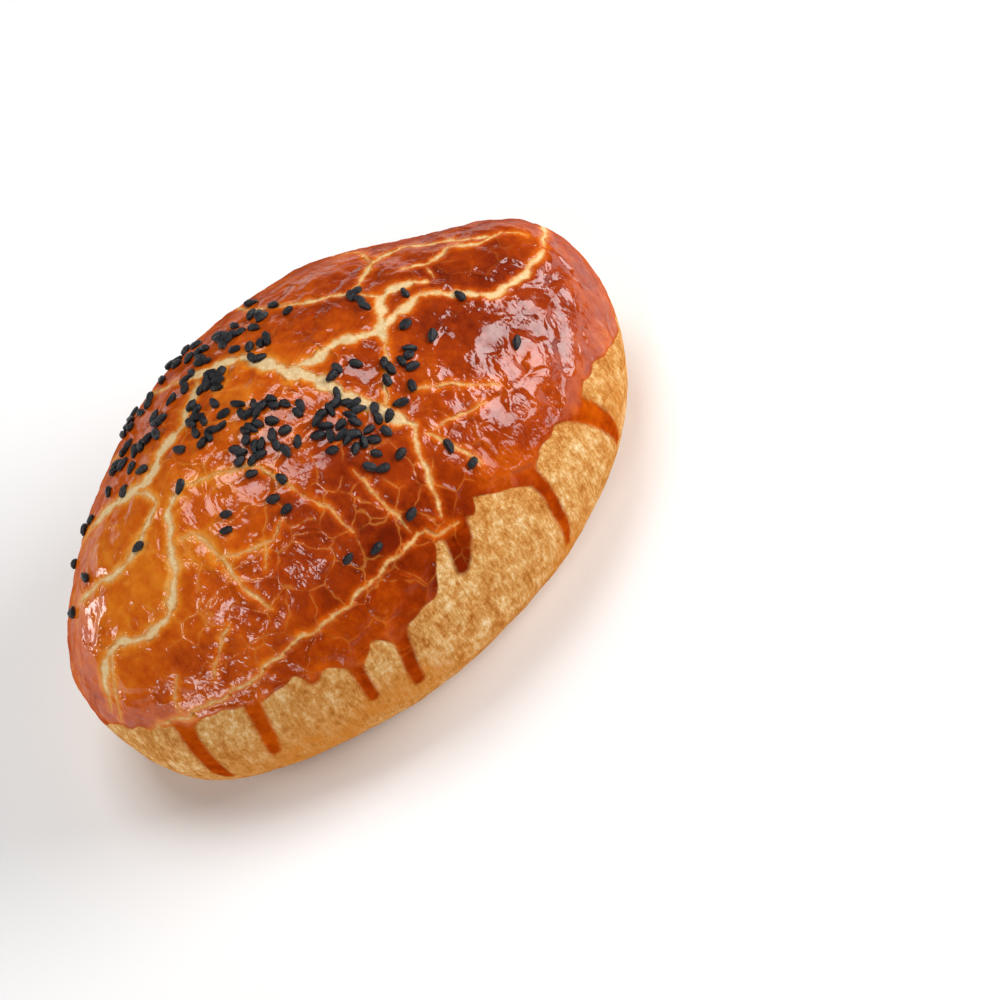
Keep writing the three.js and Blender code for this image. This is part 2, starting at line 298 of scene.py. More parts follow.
# %% Routes of the cracks
CRACKS = [  # half width, places in plan
    (1.3, [(0, 15), (3, 5), (6, -2), (7, -8), (12, -20)]),
    (1.2, [(-10, 23), (-5, 19), (0, 15)]),
    (1.0, [(4, 4), (9, 2), (14, 2), (19, -1), (25, -1), (32, 0)]),
    (0.8, [(32, 0), (37, -4), (42, -8), (50, -7), (57, -4)]),
    (1.0, [(20, -4), (25, 3), (29, 5), (35, 2)]),
    (0.6, [(13, 20), (19, 14), (25, 11), (31, 15), (38, 16), (45, 10), (52, 4)]),
    (0.55, [(34, 8), (39, 6), (44, 7), (49, 4), (54, 4)]),
    (1.2, [(-17, 13), (-23, 13), (-29, 11), (-34, 14), (-41, 19)]),
    (0.7, [(-31, 5), (-42, 2), (-49, 6), (-53, 9)]),
    (0.8, [(-63, -7), (-56, -4), (-48, -10), (-40, -9), (-31, 1), (-26, 3)]),
    (0.55, [(12, -20), (9, -24), (6, -30), (4, -33)]),
    (0.4, [(27, 4.5), (25, 7), (24.4, 9.4), (25, 10.3)]),
    (0.7, [(64, 6), (61, 1), (58, -3)]),
    (0.3, [(54, 4), (57, 0.6)]),
    (0.3, [(37.5, 5), (36.6, 2)]),
    (0.4, [(22, -2), (18, -7), (13, -12), (10, -15)]),
    (0.3, [(17, -15), (22.5, -18), (29.4, -22.5)]),
    (0.3, [(14.4, -22.5), (18.8, -23), (25, -23.8)]),
    (0.4, [(12.5, -22), (15, -27), (16.3, -30.6)]),
    (0.35, [(-2, -19), (-2.3, -26), (-2.2, -32)]),
    (1.0, [(-17, 13), (-13, 16), (-9, 19)]),
    (0.6, [(-40, 19), (-34, 14.4), (-31, 9.4), (-31, 5)]),
    (0.4, [(-33, -4), (-30.6, -6), (-30, -10), (-30.6, -15), (-31, -20), (-30, -24)]),
    (0.3, [(-46, -22), (-42, -20.6), (-37.5, -20)]),
    (0.28, [(-31, -12), (-26, -15), (-22, -17), (-18, -16)]),
    (0.25, [(-23, -17), (-26, -19.4)]),
    (0.28, [(-12, -15.6), (-10.3, -20.6), (-10, -26)]),
    (0.45, [(0, -33), (1.3, -34.7), (5.6, -35)]),
    (0.3, [(-26, 3), (-20, -1), (-14, -6), (-12, -15)]),
    (0.5, [(-10, 23), (-14, 29), (-15, 36)]),
    (0.45, [(13, 20), (9, 28), (10, 36)]),
    (0.35, [(-41, 19), (-46, 22), (-50, 26)]),
    (0.35, [(31, 15), (33, 22), (30, 29), (33, 33)]),
    (0.3, [(-27, 24), (-30, 29), (-36, 30)]),
    (0.35, [(-51.8, -5.6), (-54.7, -4.5), (-58.2, -6), (-60.9, -8.3), (-63, -9)]),
    (0.25, [(-50.5, -16.8), (-52.5, -17.6), (-55.2, -19.4)]),
]
SHOULDER = (0.42, [(-61, -14), (-54, -20), (-43, -26), (-32, -29), (-20, -32), (0, -33)])
ROUTE_STEP = 0.8
WANDER = [(2.3, 0.07), (4.1, 0.12), (7.3, 0.20)]  # wavelength, amplitude
WIDTH_WAVES = [(3.1, 0.18), (6.7, 0.25)]  # wavelength, share of the half width
LEG_POINTS = 12  # between two places of a route
START = 2.0  # mm from its ends over which a crack starts to wander
TAPER = 3.0  # mm from its ends over which it narrows to half
THINNEST = 0.12  # mm, half width
chance = np.random.default_rng(12)


def smooth_route(places):
    """A smooth curve through the places, as evenly spaced points and the length up to each."""
    p = np.asarray(places, float)
    p = np.vstack([2 * p[0] - p[1], p, 2 * p[-1] - p[-2]])
    t = np.linspace(0, 1, LEG_POINTS, endpoint=False)[:, None]
    legs = [0.5 * (2 * b + (c - a) * t + (2 * a - 5 * b + 4 * c - d) * t**2
                   + (3 * b - a - 3 * c + d) * t**3)
            for a, b, c, d in zip(p, p[1:], p[2:], p[3:])]
    dense = np.vstack([*legs, p[-2:-1]])
    length = np.r_[0, np.cumsum(np.linalg.norm(np.diff(dense, axis=0), axis=1))]
    along = np.linspace(0, length[-1], max(3, int(length[-1] / ROUTE_STEP) + 1))
    return np.stack([np.interp(along, length, dense[:, k]) for k in range(p.shape[1])], 1), along


def waves(along, pairs):
    """A sum of sine waves with phases by chance."""
    return sum(size * np.sin(2 * np.pi * along / wave + chance.uniform(0, 2 * np.pi))
               for wave, size in pairs)


def crack_line(half, places):
    """A crack as a line on the crust, in mm, with its half width at each point."""
    route, along = smooth_route(places)
    ahead = np.gradient(route, axis=0)
    ahead /= np.linalg.norm(ahead, axis=1, keepdims=True)
    ends = np.minimum(along, along[-1] - along)
    aside = waves(along, WANDER) * np.minimum(ends / START, 1)
    route = route + np.stack([-ahead[:, 1], ahead[:, 0]], 1) * aside[:, None]
    taper = 0.5 + 0.5 * np.minimum(ends / TAPER, 1)
    width = half * taper * (1 + waves(along, WIDTH_WAVES))
    return crust_over(route)[0], np.maximum(width, THINNEST)


crack_lines = [crack_line(half, places) for half, places in CRACKS]
shoulder_line = crack_line(*SHOULDER)
crack_lines.append(shoulder_line)
crack_length = sum(np.linalg.norm(np.diff(line, axis=0), axis=1).sum() for line, _ in crack_lines)
print(len(crack_lines), "cracks,", round(float(crack_length)), "mm in all")

# %% [markdown]
# ## The edge of the glaze
#
# The egg was brushed on from above and reaches down to somewhat above the widest line. It
# stops lower on the noses than on the near side, and a few drips ran on down. The edge is
# given as how far down the crust it lies, all the way round. Each drip is a line down the side
# with a half width at a few places and a rounded end. Where only a drip lies, the egg is thin.

# %% Border and drips
BORDER = [  # turn, fall of the glaze's edge, both in degrees
    (0, 82), (20, 78), (40, 81), (60, 76), (80, 80), (100, 77), (120, 81), (140, 78), (160, 84),
    (180, 95), (190, 85), (200, 80.5), (207, 77), (214, 75), (218, 72.5), (222, 71), (228, 70),
    (234, 67.5), (240, 68.5), (243, 70), (247, 71), (250, 68), (253, 70), (258, 69), (262, 68),
    (266, 65), (268, 62), (271, 56), (276, 56), (280, 58), (283, 55.5), (287, 61), (291, 65.5),
    (295, 66), (298, 63.5), (303, 65.5), (307, 68), (311, 71), (316, 70), (319, 72), (325, 77),
    (332, 86), (345, 88),
]
DRIPS = [  # (turn, fall, half width in mm) down each drip
    [(207.5, 68, 2.6), (209.5, 80, 2.0), (210.8, 92, 1.9), (211.6, 106, 1.9), (212, 112, 1.5)],
    [(224, 64, 2.4), (225.2, 76, 1.7), (225.6, 84, 1.7), (225, 95, 1.4)],
    [(237, 60, 2.2), (237.6, 69, 1.5)],
    [(245.5, 60, 2.2), (245.6, 74, 1.5), (245.8, 85, 1.3)],
    [(255.8, 60, 2.5), (254.8, 74, 1.7), (254, 82, 1.6), (253.8, 89, 1.4)],
    [(278, 50, 3.6), (274.7, 60, 2.9), (272.3, 64.5, 2.1), (271.5, 66.2, 1.7)],
    [(293.5, 60, 2.2), (292.2, 71, 1.6), (290.6, 80, 1.6), (289.3, 92, 1.2), (289, 96, 0.9)],
    [(308.5, 62, 3.2), (310.3, 76, 2.5), (311, 84, 2.2), (311.5, 92, 1.6), (311.8, 99, 1.1)],
    [(18, 66, 2.0), (18, 92, 1.2)],
    [(47, 66, 2.2), (46.4, 84, 1.6), (46, 100, 1.4)],
    [(73, 66, 1.8), (73, 88, 1.2)],
    [(96, 66, 2.2), (96.6, 82, 1.6), (97, 96, 1.4)],
    [(127, 66, 2.0), (127, 86, 1.5), (127, 105, 1.2)],
    [(151, 68, 2.0), (151, 91, 1.4)],
]
DRIP_POINTS = 24
RIPPLES = [(41, 1, 0.7), (67, 0, 0.5)]  # waves round the roll, phase, height in degrees
CRACK_REACH, GLAZE_REACH = 6.0, 8.0  # mm beyond which a distance isn't worked out
FILLET = 1.3  # mm, rounding where a drip leaves the edge


def drip_line(knots):
    """A drip as a line on the crust, in mm, with its half width at each point."""
    turns, falls, halves = np.transpose(knots)
    fall = np.linspace(falls[0], falls[-1], DRIP_POINTS)
    turn = np.interp(fall, falls, turns)
    return crust_point(np.radians(turn), np.radians(fall)), np.interp(fall, falls, halves)


def distance_to_line(points, line, half, reach):
    """How far each point is outside a line of that half width; `reach` or more far away."""
    gap = np.full(len(points), reach)
    near = np.all((points > line.min(0) - reach) & (points < line.max(0) + reach), axis=1)
    p = points[near]
    best = gap[near]
    for a, b, half_a, half_b in zip(line, line[1:], half, half[1:]):
        along = b - a
        t = np.clip((p - a) @ along / (along @ along), 0, 1)
        away = np.linalg.norm(p - a - t[:, None] * along, axis=1)
        best = np.minimum(best, away - (half_a + (half_b - half_a) * t))
    gap[near] = best
    return gap


def smooth_greater(a, b, blend):
    """The greater of two distances, with a rounded corner."""
    close = np.maximum(blend - np.abs(a - b), 0) / blend
    return np.maximum(a, b) + close * close * blend / 4


def crack_field(points):
    """Distance in mm to the edge of the nearest crack, negative inside it."""
    field = np.full(len(points), CRACK_REACH)
    for line, half in crack_lines:
        field = np.minimum(field, distance_to_line(points, line, half, CRACK_REACH))
    return field


drip_lines = [drip_line(knots) for knots in DRIPS]


def border_field(points, chart):
    """Distance in mm to the edge of the brushed glaze, without its drips; positive on it."""
    turn = np.arctan2(chart[:, 1], chart[:, 0])
    fall = np.hypot(chart[:, 0], chart[:, 1]) * QUARTER
    turns, falls = np.transpose(BORDER)
    edge = np.radians(np.interp(np.degrees(turn) % 360, turns, falls, period=360))
    edge += np.radians(sum(high * np.sin(turn * count + phase)
                           for count, phase, high in RIPPLES))
    return np.linalg.norm(crust_point(turn, edge) - points, axis=1) * np.sign(edge - fall)


def glaze_field(points, chart):
    """Distance in mm to the edge of the glaze, positive on the glaze."""
    field = border_field(points, chart)
    for line, half in drip_lines:
        drip = -distance_to_line(points, line, half, GLAZE_REACH)
        field = smooth_greater(field, drip, FILLET)
    return np.clip(field, -GLAZE_REACH, GLAZE_REACH)


print(len(drip_lines), "drips")

# %% [markdown]
# ## The crust mesh
#
# Fine lines need small triangles, and the rest of the crust doesn't. So the mesh starts as
# even rings of about a millimetre, and edges near a crack or the edge of the glaze are halved
# again and again until they are short enough. A triangle whose edges are halved becomes two,
# three or four, and because its neighbour halves the same edges, the mesh stays closed. The
# work is done on the flat chart, so every new corner lies exactly on the formula.

# %% Rings on the chart
COLUMNS = 288
DOME_RINGS = 66
SIDE_RINGS = 20
BASE_RINGS = 8
FEWEST_COLUMNS = 20
CROWDED = 0.5  # of the widest ring, below which every other column is dropped


def ring_chart():
    """Chart places and triangles of the closed crust, with fewer columns near the top."""
    falls = [i / DOME_RINGS for i in range(1, DOME_RINGS + 1)]
    falls += [1 + SIDE_END * i / SIDE_RINGS for i in range(1, SIDE_RINGS + 1)]
    flat = 1 - SIDE_END
    falls += [1 + SIDE_END + flat * i / BASE_RINGS for i in range(1, BASE_RINGS)]
    chart, faces, above = [(0.0, 0.0)], [], None
    for fall in falls:
        size = math.sin(min(fall, 1) * QUARTER) * (2 - fall if fall > 1 + SIDE_END else flat) / flat
        count = COLUMNS
        while size < CROWDED and count > FEWEST_COLUMNS:
            size, count = size * 2, count // 2
        ring = np.arange(len(chart), len(chart) + count)
        for j in range(count):
            turn = 2 * math.pi * j / count
            chart.append((fall * math.cos(turn), fall * math.sin(turn)))
        if above is None:
            faces += [(0, ring[j], ring[(j + 1) % count]) for j in range(count)]
        else:
            faces += stitch(above, ring)
        above = ring
    last = len(chart)
    chart.append((2.0, 0.0))
    faces += [(last, above[(j + 1) % len(above)], above[j]) for j in range(len(above))]
    return np.array(chart), np.array(faces)


def stitch(upper, lower):
    """Triangles between two rings, one of which may have twice the columns of the other."""
    n, m = len(upper), len(lower)
    made = []
    for j in range(min(n, m)):
        if n == m:
            a, b, c, d = upper[j], upper[(j + 1) % n], lower[j], lower[(j + 1) % m]
            made += [(a, c, d), (a, d, b)] if j % 2 else [(a, c, b), (b, c, d)]
        elif m > n:
            a, b = upper[j], upper[(j + 1) % n]
            c, e, d = lower[2 * j], lower[2 * j + 1], lower[(2 * j + 2) % m]
            made += [(a, c, e), (a, e, b), (b, e, d)]
        else:
            a, e, b = upper[2 * j], upper[2 * j + 1], upper[(2 * j + 2) % n]
            c, d = lower[j], lower[(j + 1) % m]
            made += [(a, c, e), (e, c, d), (e, d, b)]
    return made


chart, faces = ring_chart()
print("even rings:", len(chart), "points,", len(faces), "triangles")

# %% [markdown]
# How short an edge has to be depends on how far its middle is from the nearest fine feature.

# %% Halve the edges near fine features
FINEST, COARSEST = 0.31, 1.5  # mm
GRADING = 0.50  # how fast edges may grow with distance from a feature
PASSES = 6
CRACK_INSIDE = 0.5  # mm, a crack is fine this far in from its edge
GLAZE_EASIER = 1.3  # edges may grow this much faster away from the glaze's edge


def wanted_length(points, places):
    """The longest edge in mm that is still fine enough at each point."""
    crack = crack_field(points)
    glaze = np.abs(glaze_field(points, places))
    crack = np.maximum(crack, -crack - CRACK_INSIDE)
    feature = np.minimum(np.maximum(crack, 0), (glaze + 0.1) * GLAZE_EASIER)
    return np.clip(FINEST + GRADING * feature, FINEST, COARSEST)


def halve_long_edges(chart, faces):
    """One pass. Returns the new chart and faces, and how many edges were halved."""
    pairs = np.sort(np.stack([faces, np.roll(faces, -1, 1)], 2), axis=2)
    keys, inverse = np.unique(pairs[..., 0] * len(chart) + pairs[..., 1], return_inverse=True)
    ends = np.stack([keys // len(chart), keys % len(chart)], 1)
    points = chart_point(chart)
    length = np.linalg.norm(points[ends[:, 0]] - points[ends[:, 1]], axis=1)
    places = (chart[ends[:, 0]] + chart[ends[:, 1]]) / 2
    above_base = (np.hypot(chart[:, 0], chart[:, 1]) < 1 + SIDE_END)[ends].any(1)
    try_these = (length > FINEST) & above_base
    mark = np.zeros(len(keys), bool)
    mark[try_these] = length[try_these] > wanted_length(
        chart_point(places[try_these]), places[try_these])
    middle = np.full(len(keys), -1)
    middle[mark] = len(chart) + np.arange(mark.sum())
    m = middle[inverse.reshape(-1, 3)]  # corner k's edge goes on to corner k + 1
    count = (m >= 0).sum(1)
    made = [faces[count == 0]]
    for k in range(3):
        a, b, c = (faces[:, (k + i) % 3] for i in range(3))
        ab, bc = m[:, k], m[:, (k + 1) % 3]
        one = (count == 1) & (ab >= 0)
        made += [np.stack([a, ab, c], 1)[one], np.stack([ab, b, c], 1)[one]]
        two = (count == 2) & (ab >= 0) & (bc >= 0)
        made += [np.stack([ab, b, bc], 1)[two], np.stack([a, ab, bc], 1)[two],
                 np.stack([a, bc, c], 1)[two]]
    a, b, c = faces.T
    ab, bc, ca = m.T
    for corners in ((a, ab, ca), (ab, b, bc), (ca, bc, c), (ab, bc, ca)):
        made.append(np.stack(corners, 1)[count == 3])
    return np.vstack([chart, places[mark]]), np.vstack(made), int(mark.sum())


for _ in range(PASSES):
    chart, faces, halved = halve_long_edges(chart, faces)
    if not halved:
        break
print("refined:", len(chart), "points,", len(faces), "triangles")

# %% [markdown]
# ## Fields on the crust
#
# Everything that the finish needs to know about a place is worked out once and kept with the
# point: how far it is from a crack and from the edge of the glaze, how thick and dark the
# glaze is there, where a thin wash of egg tints the bare side, how far it lies under the
# shoulder's step, and whether it is on the base. How dark the glaze is holds painted light too:
# painted shade low on the near side and painted light on the left plates and nose.

# %% Work out the fields
DEPTH_PLAIN = 0.61
# Partly real and partly painted light: the egg really pooled darker in places, but the dark spot
# low on the near side also paints shade there, and the light spots on the left plates and nose
# paint light.
DEPTH_AND_LIGHT_SPOTS = [  # centre, reach, how much darker the glaze is there
    ((0, -31, 42), 12, 0.28),
    ((0.5, -38.7, 33.5), 2.5, 0.25),
    ((47, -13, 41), 13, 0.18),
    ((-8, -20, 50), 9, 0.14),
    ((-25, -25, 40), 13, 0.07),
    ((31, -6, 50), 14, 0.14),
    ((42, 6, 46), 12, 0.08),
    ((18, 12, 52), 10, 0.08),
    ((-17, 16, 53), 9, 0.08),
    ((-36, 3, 50), 15, -0.20),
    ((-57, 4, 38), 12, -0.10),
    ((-8, 6, 56), 10, -0.14),
    ((52, -24, 26), 9, -0.12),
]
WASH_SPOTS = [  # centre, reach, strength of the thin tint on the bare side
    ((-42, -30, 12), 5, 1.0),
    ((-35, -35, 12), 5, 0.9),
    ((-26, -39.6, 19), 3.2, 1.0),
    ((-21, -40.8, 18), 3.4, 1.0),
    ((-16, -41.8, 18), 3.2, 0.9),
    ((-8, -41, 9), 6, 0.5),
    ((14, -40, 7), 7, 0.5),
    ((22, -40, 14), 4, 0.7),
    ((46, -29, 18), 5, 0.6),
    ((-52, -22, 12), 5, 0.5),
    ((-37, -32, 25), 9, 0.30),
    ((10, 38, 12), 9, 0.8),
    ((-30, 33, 12), 8, 0.7),
    ((40, 28, 12), 8, 0.7),
]
CRAZE_SPOTS = [  # centre, reach, how clearly the hairlines show
    ((-12, -20, 48), 13, 1.0),
    ((-30, -12, 46), 13, 1.0),
    ((8, -27, 42), 8, 0.7),
    ((-10, -36, 34), 9, 0.5),
    ((44, 9, 44), 9, 0.6),
    ((-48, 4, 42), 10, 0.7),
    ((-10, 10, 55), 12, 0.7),
    ((0, 34, 34), 16, 0.6),
]
STEP_REACH = 5.0  # mm below the shoulder crack over which the step fades
STEP_SHARP = 0.9  # mm over which the step is full
STEP_LEFT, STEP_RIGHT = (-62, -50), (-8, 6)  # X in mm over which it starts and ends
NEAR_SIDE = -5  # Y in mm
THIN_FROM = (-1.5, 1.0)  # mm to the brushed edge, where the egg turns from thin to whole
THIN_DARKER = 0.08
SOLE_EDGE = 0.02  # in quarters of fall


def spots(points, rows):
    """The sum of soft round spots at each point."""
    total = np.zeros(len(points))
    for centre, reach, amount in rows:
        far = np.linalg.norm(points - centre, axis=1) / reach
        total += amount * np.exp(-far * far / 2)
    return total


def ease(x, low, high):
    """0 below low, 1 above high, with a smooth rise between."""
    t = np.clip((x - low) / (high - low), 0, 1)
    return t * t * (3 - 2 * t)


points = chart_point(chart)
fall = np.hypot(chart[:, 0], chart[:, 1])
crack = crack_field(points)
glaze = glaze_field(points, chart)
thin = 1 - ease(border_field(points, chart), *THIN_FROM)
# Besides the real depth of the glaze, this carries painted shade on the near low side and painted
# light on the left plates and nose.
depth = DEPTH_PLAIN + spots(points, DEPTH_AND_LIGHT_SPOTS) + THIN_DARKER * thin
wash = np.clip(spots(points, WASH_SPOTS), 0, 1)
crazed = np.clip(spots(points, CRAZE_SPOTS), 0, 1)

line = shoulder_line[0]
nearest = np.argmin([np.hypot(*(points[:, :2] - spot[:2]).T) for spot in line[::2]], axis=0)
on_line = line[::2][nearest]
lower = on_line[:, 2] - points[:, 2]  # how far below the shoulder crack
there = ease(points[:, 0], *STEP_LEFT) * (1 - ease(points[:, 0], *STEP_RIGHT))
there = there * (points[:, 1] < NEAR_SIDE)
step = ease(lower, 0.0, STEP_SHARP) * np.exp(-np.maximum(lower, 0) / STEP_REACH) * there
base = ease(fall, 1 + SIDE_END - SOLE_EDGE, 1 + SIDE_END)


def keep(mesh, name, kind, values):
    """Keeps values with the points of a mesh, under a name."""
    stored = mesh.attributes.new(name, kind, "POINT").data
    stored.foreach_set("vector" if kind == "FLOAT_VECTOR" else "value",
                       np.asarray(values, np.float32).ravel())


crust = new_piece("glazed_crust", points * MM, faces)
for name, values in dict(crack=crack, glaze=glaze, thin=thin, depth=depth, wash=wash,
                         crazed=crazed, step=step, base=base).items():
    keep(crust.data, name, "FLOAT", values)
crust.data.shade_smooth()
crust.data.validate()
print("crack", round(float(crack.min()), 2), "glaze", round(float(glaze.min()), 1), "to",
      round(float(glaze.max()), 1))

# %% [markdown]
# ## Small helpers for node trees
#
# Geometry Nodes and shader nodes are both built in code here. Each sum or product is a node with
# links of its own, so a formula of ten terms would fill a page. That is why an output is wrapped
# as a `Wire`: its +, -, * and / add the right node to the tree that the wire is in. What comes
# out is an ordinary node tree, but the lines below read as formulas.

# %% Wires that can be added and multiplied


class Wire:
    """An output socket of a node. A sum or product with it adds a node to its tree."""

    def __init__(self, socket):
        self.socket, self.tree = socket, socket.id_data

    def __add__(self, other):
        return calc("ADD", self, other)

    def __sub__(self, other):
        return calc("SUBTRACT", self, other)

    def __rsub__(self, other):
        return calc("SUBTRACT", other, self)

    def __mul__(self, other):
        return calc("MULTIPLY", self, other)

    def __truediv__(self, other):
        return calc("DIVIDE", self, other)

    def __rtruediv__(self, other):
        return calc("DIVIDE", other, self)


def plug(made, inputs):
    """Links wires to a node's inputs, by name or number, and sets the other inputs."""
    for key, value in inputs.items():
        if isinstance(value, Wire):
            value.tree.links.new(value.socket, made.inputs[key])
        else:
            made.inputs[key].default_value = value


def node(tree, kind, inputs=None, **settings):
    """Adds a node to a tree, with its settings and inputs. The nodes are laid out in rows."""
    made = tree.nodes.new(kind)
    made.location = (190 * (len(tree.nodes) % 14), -260 * (len(tree.nodes) // 14))
    for name, value in settings.items():
        setattr(made, name, value)
    plug(made, inputs or {})
    return made


def add(tree, kind, inputs=None, output=0, **settings):
    """Adds a node and gives one of its outputs as a wire."""
    return Wire(node(tree, kind, inputs, **settings).outputs[output])


def is_vector(value):
    """Whether a value is a tuple, or a wire that carries a vector or a colour."""
    return isinstance(value, tuple) or (
        isinstance(value, Wire) and value.socket.type in ("VECTOR", "RGBA"))


def calc(operation, *values):
    """A Math node, or a Vector Math node where one of the values is a vector."""
    tree = next(value.tree for value in values if isinstance(value, Wire))
    if not any(map(is_vector, values)):
        return add(tree, "ShaderNodeMath", dict(enumerate(values)), operation=operation)
    if operation == "MULTIPLY" and not is_vector(values[1]):
        operation, inputs = "SCALE", {0: values[0], "Scale": values[1]}
    else:
        inputs = {i: v if is_vector(v) else (v, v, v) for i, v in enumerate(values)}
    return add(tree, "ShaderNodeVectorMath", inputs, operation=operation)


print("a wire adds its own nodes")

# %% Steps, patterns and groups


def ramp(value, low, high, start=0.0, end=1.0):
    """A smooth step from start at low to end at high."""
    return add(value.tree, "ShaderNodeMapRange",
               {0: value, 1: low, 2: high, 3: start, 4: end}, interpolation_type="SMOOTHSTEP")


def noise(position, size, detail=2.0, rough=0.5, output=0):
    """A noise between 0 and 1 whose blots are about `size` across."""
    return add(position.tree, "ShaderNodeTexNoise",
               {"Vector": position, "Scale": 1 / size, "Detail": detail, "Roughness": rough},
               output)


def swing(*pattern, **choice):
    """The same noise between -0.5 and 0.5."""
    return noise(*pattern, **choice) - 0.5


def cells(position, size, feature="F1"):
    """A Voronoi node whose cells are about `size` across."""
    return node(position.tree, "ShaderNodeTexVoronoi",
                {"Vector": position, "Scale": 1 / size}, feature=feature)


def split(vector):
    """The x, y and z of a wire."""
    return [Wire(part) for part in node(vector.tree, "ShaderNodeSeparateXYZ", {0: vector}).outputs]


def attribute(tree, name, data_type="FLOAT"):
    """An attribute of the points that a Geometry Nodes tree works on."""
    return add(tree, "GeometryNodeInputNamedAttribute", {"Name": name}, data_type=data_type)


def new_tree(name, kind, inputs, outputs):
    """A node group, as (tree, its inputs as wires, its output node).

    Inputs are (name, type, default), and outputs are (name, type).
    """
    tree = bpy.data.node_groups.new(name, kind)
    for side, rows in (("INPUT", inputs), ("OUTPUT", outputs)):
        for title, carries, *default in rows:
            socket = tree.interface.new_socket(title, in_out=side,
                                               socket_type="NodeSocket" + carries)
            if default:
                socket.default_value = default[0]
    entry = tree.nodes.new("NodeGroupInput")
    leave = tree.nodes.new("NodeGroupOutput")
    return tree, {socket.name: Wire(socket) for socket in entry.outputs}, leave


def bake(obj, tree, **values):
    """Runs a Geometry Nodes tree on an object and keeps the result as a plain mesh."""
    modifier = obj.modifiers.new(tree.name, "NODES")
    modifier.node_group = tree
    for item in tree.interface.items_tree:
        if item.item_type == "SOCKET" and item.in_out == "INPUT" and item.name in values:
            modifier[item.identifier] = values[item.name]
    obj.data.update()
    bpy.context.view_layer.update()
    graph = bpy.context.evaluated_depsgraph_get()
    plain = bpy.data.meshes.new_from_object(obj.evaluated_get(graph))
    obj.modifiers.clear()
    start, obj.data = obj.data, plain
    bpy.data.meshes.remove(start)
    plain.name = obj.name


print("helpers ready")

# %% [markdown]
# ## The relief
#
# The glaze is a skin about a tenth of a millimetre thick. It ends in a rounded edge at the
# border, its plates curl down to the cracks, and the dough in a crack lies lower still. Under
# the shoulder crack the crust steps in. The rule is the same everywhere, so a Geometry
# Nodes tree moves each point along its normal by an amount worked out from the fields. Hardly
# anything rises above the crust's formula, so the roll keeps its size.

# %% The relief tree
# Pairs are from where to where a step goes, in mm of distance or height, or in noise.
SWELL_SIZE, SWELL_HEIGHT = 13.0, 0.7  # mm, the low waves of the whole crust
OFF_GLAZE, IN_TEAR, TORN = (-0.3, 0.6), (0.1, -0.5), (-0.5, 0.5)
WRINKLED, WRINKLES_FROM = (0.25, 0.75), (-1.0, 1.5)
THIN_SKIN = 0.7  # how far thin egg lies under the whole glaze, in glaze thicknesses
BARE_WRINKLE = 0.45  # share of the wrinkles that bare dough has
ALLOWANCE = (24.0, 36.0, -0.15, -0.28)  # from height to height, mm that the crust may rise
FOOT_FADE = 5.0  # mm over which the relief fades to the flat base

relief, given, result = new_tree("crust_relief", "GeometryNodeTree", [
    ("Geometry", "Geometry"),
    ("Glaze thickness", "Float", 0.3),
    ("Crack depth", "Float", 0.55),
    ("Lip depth", "Float", 0.3),
    ("Lip width", "Float", 1.2),
    ("Step height", "Float", 0.9),
    ("Wrinkle size", "Float", 4.5),
    ("Wrinkle height", "Float", 0.5),
    ("Finish", "Material"),
], [("Geometry", "Geometry")])

in_mm = add(relief, "GeometryNodeInputPosition") * (1 / MM)
height = split(in_mm)[2]
to_crack = attribute(relief, "crack")
on_glaze = attribute(relief, "glaze")

bare = calc("MAXIMUM", ramp(on_glaze, *OFF_GLAZE, 1.0, 0.0), attribute(relief, "thin") * THIN_SKIN)
lip = calc("EXPONENT", calc("MAXIMUM", to_crack, 0.0) / given["Lip width"] * -1.0)
crack_cut = lip * given["Lip depth"] + ramp(to_crack, *IN_TEAR) * given["Crack depth"]
wrinkle = ramp(noise(in_mm, given["Wrinkle size"], 3.0, 0.55), *WRINKLED)
down = (bare * given["Glaze thickness"]
        + crack_cut * ramp(on_glaze, *TORN)
        + attribute(relief, "step") * given["Step height"]
        + wrinkle * given["Wrinkle height"] * ramp(on_glaze, *WRINKLES_FROM, BARE_WRINKLE, 1.0)
        + noise(in_mm, SWELL_SIZE, 1.0) * SWELL_HEIGHT
        + ramp(height, *ALLOWANCE))
down = down * ramp(height, 0.0, FOOT_FADE)

offset = add(relief, "GeometryNodeInputNormal") * (down * -MM)
moved = add(relief, "GeometryNodeSetPosition", {"Geometry": given["Geometry"], "Offset": offset})
plain = add(relief, "GeometryNodeRealizeInstances", {0: moved})
plug(result, {"Geometry": add(relief, "GeometryNodeSetMaterial",
                              {"Geometry": plain, "Material": given["Finish"]})})
print("relief tree:", len(relief.nodes), "nodes")

# %% [markdown]
# ## Grain that several finishes share
#
# Dough and seeds both have a fine grain, each at its own size. One shader group makes it: it
# takes a position in millimetres and a grain size, and puts out a height for a bump and a tone
# for the colour. Its numbers are set where it is used.

# %% The shared grain group
BROADER = 0.28  # the fine grain's size, as a share of the broad grain's
GRAIN = (3.0, 0.6)  # detail and roughness of the fine grain
FINE_SHARE, BROAD_SHARE = 0.6, 0.4
TONED = (0.3, 0.7)  # the noise from where to where the tone rises

grain_group, given, result = new_tree("grain", "ShaderNodeTree", [
    ("Position", "Vector"),
    ("Size", "Float", 1.0),
    ("Stretch", "Vector", (1.0, 1.0, 1.0)),
], [("Height", "Float"), ("Tone", "Float")])
stretched = given["Position"] * given["Stretch"]
fine = noise(stretched, given["Size"], *GRAIN)
broad = noise(stretched, given["Size"] / BROADER, 1.0)
plug(result, {"Height": fine - 0.5,
              "Tone": ramp(fine * FINE_SHARE + broad * BROAD_SHARE, *TONED)})
print("grain group:", len(grain_group.nodes), "nodes")
